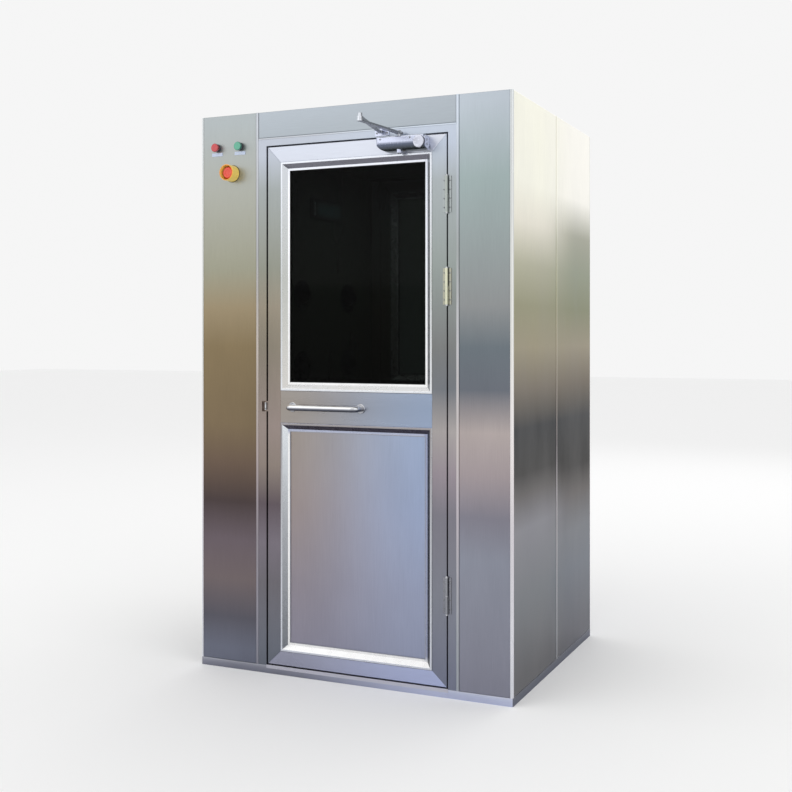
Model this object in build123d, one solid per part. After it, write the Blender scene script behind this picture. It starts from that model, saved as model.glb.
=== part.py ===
from build123d import *
import os
from math import cos, hypot, radians, sin

# Cleanroom air shower: a stainless cabin with a glazed door in its front wall
# and a second one, seen through the first, in its back wall.
# Millimetres, +Z up, origin at the middle of the underside. The front faces -Y.

# Overall box
WIDTH = 1300.0
DEPTH = 1000.0
HEIGHT = 2150.0
PLINTH_H = 30.0
FRONT_Y = -DEPTH / 2
SIDE_X = WIDTH / 2

# Walls and roof
END_WALL = 50.0  # front and back walls, as deep as the leaf and its stop need
SIDE_WALL = 28.0
ROOF_T = 28.0
INNER_WALL = 25.0
CORNER = 10.0  # folded corner strip
CORNER_R = 8.0
EDGE_R = 3.0  # folded edge of every panel
SEAM = 10.0  # cover strip over a panel joint
SEAM_PROUD = 1.5
SEAM_R = 1.2
SEAM_SLIT = 0.3
SIDE_SEAM_Y = 10.0

# Door leaf and the gaps round it
LEAF_X = 27.75  # middle of the leaf, and of the room behind it
LEAF_W = 743.0
LEAF_T = 40.0
OVER_LEAF = 137.0  # top of the leaf to top of the cabin
STILE = 56.5
TOP_RAIL = 60.0
MID_RAIL_Z = 1022.0
MID_RAIL = 122.0
BOTTOM_RAIL = 53.0
JOINT_V = 0.8  # bevel along every member, which leaves a fine groove at each mitre
HINGE_GAP = 6.0
LATCH_GAP = 6.8  # wider, because the back corner of the leaf swings out past its edge
HEAD_GAP = 6.0
SILL_GAP = 5.0
STOP_GAP = 5.0
STOP_LAP = 10.0
STOP_T = 20.0

# Faces of the jamb beside and over the leaf
LATCH_FACE = 35.45
HINGE_FACE = 31.75
HEAD_FACE = 25.0
HEAD_SEAM_H = 6.0

# Bevelled frame round the glass and round the lower panel
BEAD_PROUD = 1.5
BEAD_R = 1.4
BEAD_LIP = 8.0
BEAD_SLOPE = 16.0
BEAD_FLAT = 8.0
PANE_T = 6.0
PANE_COVER = 3.0  # metal in front of and behind the pane

# Room
ROOM_SIDE = 28.5  # inner wall beyond the edge of the leaf
FLOOR_T = 3.0
CEILING_T = 25.0
SILL_NOSE = 10.0

# Hinges: lift-off, three a leaf
HINGE_LOW = 328.0  # above the foot of the leaf
HINGE_MID = 545.0  # below the top of the leaf
HINGE_HIGH = 216.0
HINGE_H = 130.0
HINGE_OUT = 7.0  # axis in front of the wall face
HINGE_INTO_GAP = 3.25  # axis beyond the hinge edge of the leaf
KNUCKLE_R = 6.2
HINGE_PIN_R = 3.5
WING_T = 2.5
WING_W = 9.0
KNUCKLE_GAP = 1.0
PIN_FIT = 0.05  # radial running clearance of every pin

# Pull handle
HANDLE_SET = 109.75  # first foot from the latch edge of the leaf
HANDLE_L = 289.0
HANDLE_OUT = 42.0
HANDLE_R = 11.0
HANDLE_BEND = 20.0
FOOT_R = 18.0
FOOT_T = 4.0
FOOT_EDGE = 1.0

# Door closer on the top rail, seen from the front
CLOSER_SET = 69.25  # right end from the hinge edge of the leaf
CLOSER_L = 190.0
CLOSER_DROP = 54.0  # underside below the top of the leaf
CLOSER_H = 50.0
CLOSER_OUT = 50.0
CLOSER_BELLY_R = 32.0
CLOSER_EDGE_R = 4.0
CLOSER_BOW_R = 38.0  # sweep of the left end up from the belly
CLOSER_END_R = 12.0
CAP_R = 25.4
CAP_L = 38.0
CAP_END = 4.0  # cap beyond the end of the body
SPINDLE_CAP_R = 10.0
SPINDLE_CAP_H = 8.0
SPINDLE_R = 7.0
SPINDLE_DEEP = 22.0
VALVE_X = 20.0
VALVE_R = 4.0
VALVE_DEEP = 6.0

# Closer arms seen from above: distance from the hinge edge, and in front of the wall
PINION = (174.25, 25.0)
ELBOW = (195.25, 290.0)
SHOE_PIVOT = (254.25, 20.0)
ARM_OVER = 7.0  # underside of the main arm above the leaf
ARM_T = 6.0
ARM_BOSS_R = 14.0
ARM_ROOT = 0.8  # half width of the blade at its eye, as a share of the eye
ARM_TIP_R = 11.0
ARM_WAIST_R = 7.0
ARM_LIFT = 2.0  # boss above its blade
ELBOW_SLIP = 0.5
FOREARM_T = 8.0
FOREARM_TIP_R = 10.0
FOREARM_WAIST_R = 6.0
ELBOW_BOLT_R = 7.0
ELBOW_BOLT_H = 11.0
SHOE_W = 56.0
SHOE_H = 21.0
SHOE_SET = 3.0  # above the edge of the doorway
SHOE_T = 4.0
SHOE_PIN_R = 4.0
SHOE_LUG_R = 12.0

# Air nozzles on each side wall of the room
NOZZLE_ROWS = 3
NOZZLE_Z = 876.0
NOZZLE_PITCH = 291.0
NOZZLE_SPAN = 395.0
NOZZLE_FLANGE_R = 62.5
NOZZLE_FLANGE_T = 4.0
NOZZLE_STEP = 2.0
NOZZLE_CUP_R = 48.0
NOZZLE_CUP_DEEP = 18.0
NOZZLE_COLLAR_R = 44.0
NOZZLE_COLLAR_H = 12.0
BALL_R = 37.5
BALL_OUT = 2.0
BORE_R = 16.0
BORE_DEEP = 30.0

# Panel on the left wall of the room, over the nozzles
DISPLAY_W = 264.0
DISPLAY_H = 82.0
DISPLAY_UNDER = 326.0  # middle below the top of the cabin
DISPLAY_T = 8.0
DISPLAY_RIM = 6.0
DISPLAY_SINK = 2.5

# Lamps, plates and emergency stop, from the middle of the left panel and the top of the cabin
LAMP_UNDER = 125.0
RED_LAMP_SET = -51.0
GREEN_LAMP_SET = 53.0
BEZEL_R = 16.0
BEZEL_H = 5.0
BEZEL_EDGE = 1.5
LENS_R = 13.5
LENS_OUT = 21.0
LENS_EDGE = 2.0
LENS_CROWN = 1.0
PLATE_W = 48.0
PLATE_H = 13.0
PLATE_T = 1.5
PLATE_DROP = 25.0
STOP_SET = 18.0
STOP_UNDER = 228.0
SHROUD_R = 32.0
SHROUD_OUT = 45.0
SHROUD_WALL = 4.0
SHROUD_FLOOR = 10.0
SHROUD_EDGE = 1.5
BUTTON_R = 22.0
BUTTON_FOOT = 21.0
BUTTON_OUT = 34.0
BUTTON_EDGE = 3.0
BUTTON_DISH = 11.0
STEM_R = 8.0
STEM_FOOT = 8.5
STEM_BORE = 1.5  # what is left of the shroud under the bore

# Strike in the edge of the jamb
STRIKE_H = 40.0
STRIKE_W = 20.0
STRIKE_DEEP = 12.0
KEEPER_T = 6.0
KEEPER_MARGIN = 6.0
KEEPER_SET = 3.0

# Derived positions
LEAF_X0 = LEAF_X - LEAF_W / 2
LEAF_X1 = LEAF_X + LEAF_W / 2
FLOOR_Z = PLINTH_H + FLOOR_T
LEAF_Z0 = FLOOR_Z + SILL_GAP
LEAF_Z1 = HEIGHT - OVER_LEAF
LEAF_BACK = FRONT_Y + LEAF_T
STOP_Y0 = LEAF_BACK + STOP_GAP
STOP_Y1 = STOP_Y0 + STOP_T
OPENING_X0 = LEAF_X0 - LATCH_GAP
OPENING_X1 = LEAF_X1 + HINGE_GAP
OPENING_Z1 = LEAF_Z1 + HEAD_GAP
JAMB_X0 = OPENING_X0 - LATCH_FACE
JAMB_X1 = OPENING_X1 + HINGE_FACE
JAMB_Z1 = OPENING_Z1 + HEAD_FACE
MID_RAIL_Z0 = MID_RAIL_Z - MID_RAIL / 2
MID_RAIL_Z1 = MID_RAIL_Z + MID_RAIL / 2
ROOM_X0 = LEAF_X0 - ROOM_SIDE
ROOM_X1 = LEAF_X1 + ROOM_SIDE
CEILING_Z = LEAF_Z1 - STOP_LAP
BEAD_W = BEAD_LIP + BEAD_SLOPE + BEAD_FLAT
PANE_Y = (FRONT_Y + LEAF_BACK) / 2
HINGE_X = LEAF_X1 + HINGE_INTO_GAP
HINGE_Y = FRONT_Y - HINGE_OUT
HINGE_ZS = (LEAF_Z0 + HINGE_LOW, LEAF_Z1 - HINGE_MID, LEAF_Z1 - HINGE_HIGH)
CLOSER_X1 = LEAF_X1 - CLOSER_SET
CLOSER_X0 = CLOSER_X1 - CLOSER_L
CLOSER_Z0 = LEAF_Z1 - CLOSER_DROP
ARM_Z0 = LEAF_Z1 + ARM_OVER
FOREARM_Z0 = ARM_Z0 + ARM_T + ARM_LIFT + ELBOW_SLIP
NOZZLE_ZS = [NOZZLE_Z + NOZZLE_PITCH * row for row in range(NOZZLE_ROWS)]
NOZZLE_YS = (-NOZZLE_SPAN / 2, NOZZLE_SPAN / 2)
LAMP_Z = HEIGHT - LAMP_UNDER
PANEL_X = (JAMB_X0 - SEAM - SIDE_X) / 2
RED_LAMP_X = PANEL_X + RED_LAMP_SET
GREEN_LAMP_X = PANEL_X + GREEN_LAMP_SET
STOP_X = PANEL_X + STOP_SET
STOP_Z = HEIGHT - STOP_UNDER


def block(x0, x1, y0, y1, z0, z1):
    """Plain block between two corners."""
    middle = Pos((x0 + x1) / 2, (y0 + y1) / 2, (z0 + z1) / 2)
    return middle * Box(x1 - x0, y1 - y0, z1 - z0)


def post(x, y, z0, z1, radius):
    """Upright round bar."""
    return Pos(x, y, (z0 + z1) / 2) * Cylinder(radius, z1 - z0)


def prism(points, z0, z1):
    """Plan outline carried up from z0 to z1."""
    outline = make_face(Polyline(*points, close=True))
    return Pos(0, 0, z0) * extrude(outline, amount=z1 - z0, dir=(0, 0, 1))


def soften(solid, axis, end, radius):
    """Rounds the rim of the flat face at one end of an axis."""
    face = solid.faces().sort_by(axis)[end]
    return fillet(face.edges(), radius)


def turned(points, x, z):
    """Round piece standing straight out of the front wall, from points (distance out, radius)."""
    outline = make_face(Polyline(*[(r, -out) for out, r in points], close=True))
    return Pos(x, FRONT_Y, z) * revolve(outline, Axis.Y)


def to_back(shape):
    """The same piece on the back wall, turned half round about the middle of the room."""
    return Pos(LEAF_X, 0, 0) * Rot(0, 0, 180) * Pos(-LEAF_X, 0, 0) * shape


def both_walls(shape):
    return [shape, to_back(shape)]


def write(name, solids):
    """One STEP file for one node."""
    pieces = solids if isinstance(solids, list) else [solids]
    flat = [s for piece in pieces for s in piece.solids()]
    node = flat[0] if len(flat) == 1 else Compound(children=flat)
    node.label = name
    export_step(node, os.path.join("parts", name + ".step"))


# Shell of the cabin

def base_plinth():
    slab = block(-SIDE_X, SIDE_X, FRONT_Y, -FRONT_Y, 0, PLINTH_H)
    uprights = slab.edges().filter_by(Axis.Z)
    return fillet(uprights, CORNER_R)


def end_panel(inner, outer):
    """Panel beside a doorway, stepped at its outer end to lap behind the corner strip."""
    way = 1 if outer > inner else -1
    strip = outer - way * CORNER
    lap = outer - way * SIDE_WALL
    back = FRONT_Y + END_WALL
    step = FRONT_Y + CORNER
    points = [(inner, FRONT_Y), (strip, FRONT_Y), (strip, step), (lap, step), (lap, back), (inner, back)]
    panel = prism(points, PLINTH_H, HEIGHT)
    return soften(panel, Axis.Y, 0, EDGE_R)


def wall_panels(left, right):
    """The two panels of an end wall whose outer ends stand at left and right."""
    return [end_panel(JAMB_X0 - SEAM, left), end_panel(JAMB_X1 + SEAM, right)]


def header_panel():
    panel = block(JAMB_X0, JAMB_X1, FRONT_Y, FRONT_Y + END_WALL, JAMB_Z1 + HEAD_SEAM_H, HEIGHT)
    return soften(panel, Axis.Y, 0, EDGE_R)


def seam_strip(x0, x1, z0, z1):
    strip = block(x0, x1, FRONT_Y - SEAM_PROUD, FRONT_Y + END_WALL, z0, z1)
    return soften(strip, Axis.Y, 0, SEAM_R)


def wall_seams():
    """Two upright strips and, a hair short of both, the level one over the door."""
    left = seam_strip(JAMB_X0 - SEAM, JAMB_X0, PLINTH_H, HEIGHT)
    right = seam_strip(JAMB_X1, JAMB_X1 + SEAM, PLINTH_H, HEIGHT)
    level = seam_strip(JAMB_X0 + SEAM_SLIT, JAMB_X1 - SEAM_SLIT, JAMB_Z1, JAMB_Z1 + HEAD_SEAM_H)
    return [left, right, level]


def side_seam(way):
    outer = SIDE_X + SEAM_PROUD
    strip = block(SIDE_X - SIDE_WALL, outer, SIDE_SEAM_Y - SEAM / 2, SIDE_SEAM_Y + SEAM / 2, PLINTH_H, HEIGHT)
    strip = soften(strip, Axis.X, -1, SEAM_R)
    return strip if way > 0 else mirror(strip, Plane.YZ)


def side_panels(way):
    panels = []
    for y0, y1 in ((FRONT_Y + CORNER, SIDE_SEAM_Y - SEAM / 2), (SIDE_SEAM_Y + SEAM / 2, -FRONT_Y - CORNER)):
        panel = block(SIDE_X - SIDE_WALL, SIDE_X, y0, y1, PLINTH_H, HEIGHT)
        panel = soften(panel, Axis.X, -1, EDGE_R)
        panels.append(panel if way > 0 else mirror(panel, Plane.YZ))
    return panels


def corner_strips():
    strip = block(SIDE_X - CORNER, SIDE_X, FRONT_Y, FRONT_Y + CORNER, PLINTH_H, HEIGHT)
    outer = strip.edges().filter_by(Axis.Z).sort_by(lambda e: e.center().Y - e.center().X)[0]
    strip = fillet(outer, CORNER_R)
    strips = [strip, mirror(strip, Plane.YZ)]
    return strips + [mirror(s, Plane.XZ) for s in strips]


def roof_panel():
    inside_x = SIDE_X - SIDE_WALL
    inside_y = -FRONT_Y - END_WALL
    return block(-inside_x, inside_x, -inside_y, inside_y, HEIGHT - ROOF_T, HEIGHT)


# Room

def floor_plate():
    return block(ROOM_X0, ROOM_X1, STOP_Y1, -STOP_Y1, PLINTH_H, FLOOR_Z)


def ceiling_panel():
    return block(ROOM_X0 - INNER_WALL, ROOM_X1 + INNER_WALL, STOP_Y1, -STOP_Y1, CEILING_Z,
                 CEILING_Z + CEILING_T)


def nozzle(x, y, z, way):
    """Ball nozzle in a flanged cup, blowing along +X or -X."""
    shoulder = (BALL_R**2 - (NOZZLE_COLLAR_H - BALL_OUT) ** 2) ** 0.5
    mouth = BALL_OUT + (BALL_R**2 - BORE_R**2) ** 0.5
    crown = BALL_OUT + BALL_R * cos(radians(45))
    crown_r = BALL_R * sin(radians(45))
    rim = Polyline((mouth, BORE_R), (mouth - BORE_DEEP, BORE_R), (mouth - BORE_DEEP, 0),
                   (-NOZZLE_CUP_DEEP, 0), (-NOZZLE_CUP_DEEP, NOZZLE_CUP_R), (0, NOZZLE_CUP_R),
                   (0, NOZZLE_FLANGE_R),
                   (NOZZLE_FLANGE_T, NOZZLE_FLANGE_R), (NOZZLE_FLANGE_T + NOZZLE_STEP, NOZZLE_CUP_R),
                   (NOZZLE_COLLAR_H, NOZZLE_COLLAR_R), (NOZZLE_COLLAR_H, shoulder))
    ball = ThreePointArc((NOZZLE_COLLAR_H, shoulder), (crown, crown_r), (mouth, BORE_R))
    body = revolve(make_face(Curve() + [rim, ball]), Axis.X)
    aim = 0 if way > 0 else 180
    return Pos(x, y, z) * Rot(0, 0, aim) * body


def wall_nozzles(way):
    """Nozzles of the left wall (way +1, blowing right) or of the right wall (way -1)."""
    face = ROOM_X0 if way > 0 else ROOM_X1
    return [nozzle(face, y, z, way) for z in NOZZLE_ZS for y in NOZZLE_YS]


def inner_wall(way):
    face = ROOM_X0 if way > 0 else ROOM_X1
    back = face - way * INNER_WALL
    wall = block(min(face, back), max(face, back), STOP_Y1, -STOP_Y1, PLINTH_H, CEILING_Z)
    for z in NOZZLE_ZS:
        for y in NOZZLE_YS:
            wall -= Pos((face + back) / 2, y, z) * Rot(0, 90, 0) * Cylinder(NOZZLE_CUP_R, INNER_WALL)
    return wall


def wall_display():
    face = ROOM_X0
    half = DISPLAY_W / 2
    z0 = HEIGHT - DISPLAY_UNDER - DISPLAY_H / 2
    z1 = z0 + DISPLAY_H
    case = block(face, face + DISPLAY_T, -half, half, z0, z1)
    case = soften(case, Axis.X, -1, EDGE_R / 2)
    screen = block(face + DISPLAY_T - DISPLAY_SINK, face + DISPLAY_T, -half + DISPLAY_RIM, half - DISPLAY_RIM,
                   z0 + DISPLAY_RIM, z1 - DISPLAY_RIM)
    return case - screen


# Doorway

def door_jamb():
    """Jambs and head in one frame, rebated for the leaf, with the strike pocket in its latch side."""
    frame = block(JAMB_X0, JAMB_X1, FRONT_Y, STOP_Y1, PLINTH_H, JAMB_Z1)
    frame -= block(OPENING_X0, OPENING_X1, FRONT_Y, STOP_Y0, PLINTH_H, OPENING_Z1)
    frame -= block(LEAF_X0 + STOP_LAP, LEAF_X1 - STOP_LAP, STOP_Y0, STOP_Y1, PLINTH_H, CEILING_Z)
    z0 = MID_RAIL_Z - STRIKE_H / 2
    return frame - block(OPENING_X0 - STRIKE_W, OPENING_X0, FRONT_Y, FRONT_Y + STRIKE_DEEP, z0, z0 + STRIKE_H)


def door_sill(jamb):
    """Threshold plate with a nose turned down over the plinth."""
    plate = block(OPENING_X0, OPENING_X1, FRONT_Y - SEAM_PROUD, STOP_Y1, PLINTH_H, FLOOR_Z)
    nose = block(OPENING_X0, OPENING_X1, FRONT_Y - SEAM_PROUD, FRONT_Y, PLINTH_H - SILL_NOSE, FLOOR_Z)
    return plate + nose - jamb


def strike_keeper():
    x1 = OPENING_X0 - KEEPER_SET
    y1 = FRONT_Y + STRIKE_DEEP
    half = STRIKE_H / 2 - KEEPER_MARGIN
    return block(x1 - KEEPER_T, x1, FRONT_Y + KEEPER_SET, y1, MID_RAIL_Z - half, MID_RAIL_Z + half)


# Door leaf

def leaf_member(points):
    """Flat bar of the leaf from its front outline, with its front and back edges bevelled."""
    plane = Plane.XZ.offset(-FRONT_Y)
    bar = extrude(plane * make_face(Polyline(*points, close=True)), amount=-LEAF_T)
    rims = bar.faces().sort_by(Axis.Y)[0].edges() + bar.faces().sort_by(Axis.Y)[-1].edges()
    return chamfer(rims, JOINT_V)


def door_stiles():
    """The two uprights, mitred to the top and bottom rails and square to the middle one."""
    stiles = []
    for edge, way in ((LEAF_X0, 1), (LEAF_X1, -1)):
        inner = edge + way * STILE
        stiles.append(leaf_member([(edge, LEAF_Z0), (inner, LEAF_Z0 + BOTTOM_RAIL),
                                   (inner, LEAF_Z1 - TOP_RAIL), (edge, LEAF_Z1)]))
    return stiles


def door_rails():
    left = LEAF_X0 + STILE
    right = LEAF_X1 - STILE
    rails = []
    for edge, inner in ((LEAF_Z0, LEAF_Z0 + BOTTOM_RAIL), (LEAF_Z1, LEAF_Z1 - TOP_RAIL)):
        rails.append(leaf_member([(LEAF_X0, edge), (left, inner), (right, inner), (LEAF_X1, edge)]))
    middle = [(left, MID_RAIL_Z0), (right, MID_RAIL_Z0), (right, MID_RAIL_Z1), (left, MID_RAIL_Z1)]
    return rails + [leaf_member(middle)]


def rectangle_at(y, inset, x0, x1, z0, z1):
    """Upright rectangle facing the front, inset from the given outline."""
    plane = Plane.XZ.offset(-y)
    width = x1 - x0 - 2 * inset
    height = z1 - z0 - 2 * inset
    return plane * Pos((x0 + x1) / 2, (z0 + z1) / 2) * Rectangle(width, height)


def bevel_frame(z0, z1):
    """Frame round one opening of the leaf: rounded lip, slope and flat, alike on both faces."""
    x0 = LEAF_X0 + STILE
    x1 = LEAF_X1 - STILE
    near = FRONT_Y - BEAD_PROUD
    far = LEAF_BACK + BEAD_PROUD
    seat = PANE_T / 2 + PANE_COVER
    frame = block(x0, x1, near, far, z0, z1)
    frame -= block(x0 + BEAD_W, x1 - BEAD_W, near, far, z0 + BEAD_W, z1 - BEAD_W)
    for face, inner in ((near, PANE_Y - seat), (far, PANE_Y + seat)):
        wide = rectangle_at(face, BEAD_LIP, x0, x1, z0, z1)
        narrow = rectangle_at(inner, BEAD_LIP + BEAD_SLOPE, x0, x1, z0, z1)
        frame -= loft([wide, narrow])
    for end in (0, -1):
        frame = soften(frame, Axis.Y, end, BEAD_R)
    return frame - pane(z0, z1)


def pane(z0, z1):
    inset = BEAD_LIP + BEAD_SLOPE
    return block(LEAF_X0 + STILE + inset, LEAF_X1 - STILE - inset, PANE_Y - PANE_T / 2, PANE_Y + PANE_T / 2,
                 z0 + inset, z1 - inset)


def pull_handle():
    z = MID_RAIL_Z
    x0 = LEAF_X0 + HANDLE_SET
    x1 = x0 + HANDLE_L
    out = FRONT_Y - HANDLE_OUT
    path = FilletPolyline((x0, FRONT_Y, z), (x0, out, z), (x1, out, z), (x1, FRONT_Y, z), radius=HANDLE_BEND)
    bar = sweep(Plane((x0, FRONT_Y, z), z_dir=(0, -1, 0)) * Circle(HANDLE_R), path=path)
    foot = [(0, 0), (0, FOOT_R), (FOOT_T - FOOT_EDGE, FOOT_R), (FOOT_T, FOOT_R - FOOT_EDGE), (FOOT_T, 0)]
    return bar + turned(foot, x0, z) + turned(foot, x1, z)


# Hinges

def hinge_halves(z):
    """Frame half below with the pin, leaf half above, lifting off it."""
    low = z - HINGE_H / 2
    high = z + HINGE_H / 2
    reach = KNUCKLE_R + KNUCKLE_GAP
    wing_y0 = FRONT_Y - WING_T
    frame_half = post(HINGE_X, HINGE_Y, low, z - KNUCKLE_GAP / 2, KNUCKLE_R)
    frame_half += block(HINGE_X + reach, HINGE_X + reach + WING_W, wing_y0, FRONT_Y, low, high)
    frame_half += block(HINGE_X, HINGE_X + reach, HINGE_Y, wing_y0 + WING_T / 2, low, z - KNUCKLE_GAP / 2)
    frame_half += post(HINGE_X, HINGE_Y, z - KNUCKLE_GAP, high - KNUCKLE_R, HINGE_PIN_R)
    leaf_half = post(HINGE_X, HINGE_Y, z + KNUCKLE_GAP / 2, high, KNUCKLE_R)
    leaf_half += block(HINGE_X - reach - WING_W, HINGE_X - reach, wing_y0, FRONT_Y, low, high)
    leaf_half += block(HINGE_X - reach, HINGE_X, HINGE_Y, wing_y0 + WING_T / 2, z + KNUCKLE_GAP / 2, high)
    leaf_half -= post(HINGE_X, HINGE_Y, z, high - KNUCKLE_R + KNUCKLE_GAP, HINGE_PIN_R + PIN_FIT)
    return frame_half, leaf_half


# Door closer

def on_plan(place):
    """Plan position of a point given from the hinge edge and from the wall face."""
    along, out = place
    return LEAF_X1 - along, FRONT_Y - out


def closer_body():
    """Case with a rounded belly swept up at its left end, a round cap and the lower spindle cover."""
    z0 = CLOSER_Z0
    z1 = z0 + CLOSER_H
    y0 = FRONT_Y - CLOSER_OUT
    outline = Plane.YZ.offset(CLOSER_X0) * Pos(FRONT_Y - CLOSER_OUT / 2, z0 + CLOSER_H / 2) * Rectangle(
        CLOSER_OUT, CLOSER_H)
    outline = fillet(outline.vertices().sort_by(lambda v: v.Y + v.Z)[0], CLOSER_BELLY_R)
    outline = fillet(outline.vertices().sort_by(lambda v: v.Y - v.Z)[0], CLOSER_EDGE_R)
    case = extrude(outline, amount=CLOSER_L)
    bow_x = CLOSER_X0 + CLOSER_BOW_R
    bow = block(CLOSER_X0, bow_x, y0, FRONT_Y, z0, z0 + CLOSER_BOW_R)
    bow -= Pos(bow_x, FRONT_Y, z0 + CLOSER_BOW_R) * Rot(90, 0, 0) * Cylinder(CLOSER_BOW_R, 2 * CLOSER_OUT)
    end = block(CLOSER_X0, CLOSER_X0 + CLOSER_END_R, y0, y0 + CLOSER_END_R, z0, z1)
    end -= post(CLOSER_X0 + CLOSER_END_R, y0 + CLOSER_END_R, z0, z1, CLOSER_END_R)
    cap = Pos(CLOSER_X1 + CAP_END - CAP_L / 2, FRONT_Y - CAP_R, z0 + CLOSER_H / 2) * Rot(0, 90, 0) * Cylinder(
        CAP_R, CAP_L)
    x, y = on_plan(PINION)
    case = case - bow - end + chamfer(cap.faces().sort_by(Axis.X)[-1].edges(), EDGE_R)
    case += post(x, y, z0 - SPINDLE_CAP_H, z0 + VALVE_DEEP, SPINDLE_CAP_R)
    case -= post(x + VALVE_X, y, z0, z0 + VALVE_DEEP, VALVE_R)
    return case - post(x, y, z1 - SPINDLE_DEEP, z1, SPINDLE_R + PIN_FIT)


def blade(start, end, r_start, r_end, waist, z0, z1):
    """Flat arm seen from above: a round eye at each end and a tapering bar between them."""
    (xa, ya), (xb, yb) = start, end
    length = hypot(xb - xa, yb - ya)
    ux, uy = (xb - xa) / length, (yb - ya) / length
    root = r_start * ARM_ROOT
    points = [(xa - uy * root, ya + ux * root), (xb - uy * waist, yb + ux * waist),
              (xb + uy * waist, yb - ux * waist), (xa + uy * root, ya - ux * root)]
    return prism(points, z0, z1) + post(xa, ya, z0, z1, r_start) + post(xb, yb, z0, z1, r_end)


def main_arm():
    pinion = on_plan(PINION)
    elbow = on_plan(ELBOW)
    top = ARM_Z0 + ARM_T
    arm = blade(pinion, elbow, ARM_BOSS_R, ARM_TIP_R, ARM_WAIST_R, ARM_Z0, top)
    arm += post(*elbow, ARM_Z0, top + ARM_LIFT, ARM_TIP_R)
    arm += post(*pinion, ARM_Z0, top + ARM_LIFT, SPINDLE_CAP_R)
    foot = CLOSER_Z0 + CLOSER_H - SPINDLE_DEEP + KNUCKLE_GAP
    return arm + post(*pinion, foot, ARM_Z0, SPINDLE_R)


def forearm():
    elbow = on_plan(ELBOW)
    pivot = on_plan(SHOE_PIVOT)
    z0 = FOREARM_Z0
    top = z0 + FOREARM_T
    arm = blade(elbow, pivot, FOREARM_TIP_R, FOREARM_TIP_R, FOREARM_WAIST_R, z0 + ARM_LIFT, top)
    arm += post(*elbow, z0, top, FOREARM_TIP_R)
    arm += post(*elbow, top, top + ELBOW_BOLT_H, ELBOW_BOLT_R)
    return arm - post(*pivot, z0, top, SHOE_PIN_R + PIN_FIT)


def closer_shoe():
    """Foot of the forearm on the head of the frame: plate, lug and pin."""
    x, y = on_plan(SHOE_PIVOT)
    z0 = OPENING_Z1 + SHOE_SET
    top = z0 + SHOE_H
    plate = block(x - SHOE_W / 2, x + SHOE_W / 2, FRONT_Y - SHOE_T, FRONT_Y, z0, top)
    plate = fillet(plate.edges().filter_by(Axis.Y), EDGE_R)
    under = FOREARM_Z0 + FOREARM_T + ELBOW_SLIP
    lug = block(x - SHOE_LUG_R, x + SHOE_LUG_R, y, FRONT_Y, under, top) + post(x, y, under, top, SHOE_LUG_R)
    return plate + lug + post(x, y, FOREARM_Z0, under, SHOE_PIN_R)


# Lamps and emergency stop

def lamp_bezel(x):
    profile = [(0, 0), (0, BEZEL_R), (BEZEL_H - BEZEL_EDGE, BEZEL_R), (BEZEL_H, BEZEL_R - BEZEL_EDGE),
               (BEZEL_H, 0)]
    return turned(profile, x, LAMP_Z)


def lamp_lens(x):
    profile = [(BEZEL_H, 0), (BEZEL_H, LENS_R), (LENS_OUT - LENS_EDGE - LENS_CROWN, LENS_R),
               (LENS_OUT - LENS_CROWN, LENS_R - LENS_EDGE), (LENS_OUT, LENS_R / 2), (LENS_OUT, 0)]
    return turned(profile, x, LAMP_Z)


def label_plate(x):
    z0 = LAMP_Z - PLATE_DROP - PLATE_H / 2
    return block(x - PLATE_W / 2, x + PLATE_W / 2, FRONT_Y - PLATE_T, FRONT_Y, z0, z0 + PLATE_H)


def stop_shroud():
    """Guard ring that stands out past the button inside it."""
    inner = SHROUD_R - SHROUD_WALL
    bore = STEM_R + PIN_FIT
    profile = [(0, 0), (0, SHROUD_R), (SHROUD_OUT - SHROUD_EDGE, SHROUD_R - SHROUD_EDGE),
               (SHROUD_OUT, SHROUD_R - 2 * SHROUD_EDGE), (SHROUD_OUT, inner), (SHROUD_FLOOR, inner),
               (SHROUD_FLOOR, bore), (STEM_BORE, bore), (STEM_BORE, 0)]
    return turned(profile, STOP_X, STOP_Z)


def stop_button():
    profile = [(STEM_FOOT, 0), (STEM_FOOT, STEM_R), (BUTTON_FOOT, STEM_R),
               (BUTTON_FOOT, BUTTON_R - BUTTON_EDGE), (BUTTON_FOOT + BUTTON_EDGE, BUTTON_R),
               (BUTTON_OUT - BUTTON_EDGE, BUTTON_R), (BUTTON_OUT, BUTTON_R - BUTTON_EDGE),
               (BUTTON_OUT, BUTTON_DISH), (BUTTON_OUT - BUTTON_EDGE / 2, BUTTON_DISH - BUTTON_EDGE / 2),
               (BUTTON_OUT - BUTTON_EDGE / 2, 0)]
    return turned(profile, STOP_X, STOP_Z)


os.makedirs("parts", exist_ok=True)

write("base_plinth", base_plinth())
write("floor_plate", floor_plate())
write("roof_panel", roof_panel())
write("ceiling_panel", ceiling_panel())
write("left_inner_wall", inner_wall(1))
write("right_inner_wall", inner_wall(-1))
write("left_nozzles", wall_nozzles(1))
write("right_nozzles", wall_nozzles(-1))
write("wall_display", wall_display())
write("left_side_panels", side_panels(-1))
write("right_side_panels", side_panels(1))
write("corner_strips", corner_strips())
write("side_seams", [side_seam(1), side_seam(-1)])
write("front_panels", wall_panels(-SIDE_X, SIDE_X))
write("back_panels", [to_back(p) for p in wall_panels(2 * LEAF_X - SIDE_X, 2 * LEAF_X + SIDE_X)])
write("header_panels", both_walls(header_panel()))
write("wall_seams", [s for strip in wall_seams() for s in both_walls(strip)])

jamb = door_jamb()
write("front_jamb", jamb)
write("back_jamb", to_back(jamb))
write("door_sills", both_walls(door_sill(jamb)))
write("strike_keepers", both_walls(strike_keeper()))
write("closer_shoes", both_walls(closer_shoe()))

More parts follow.
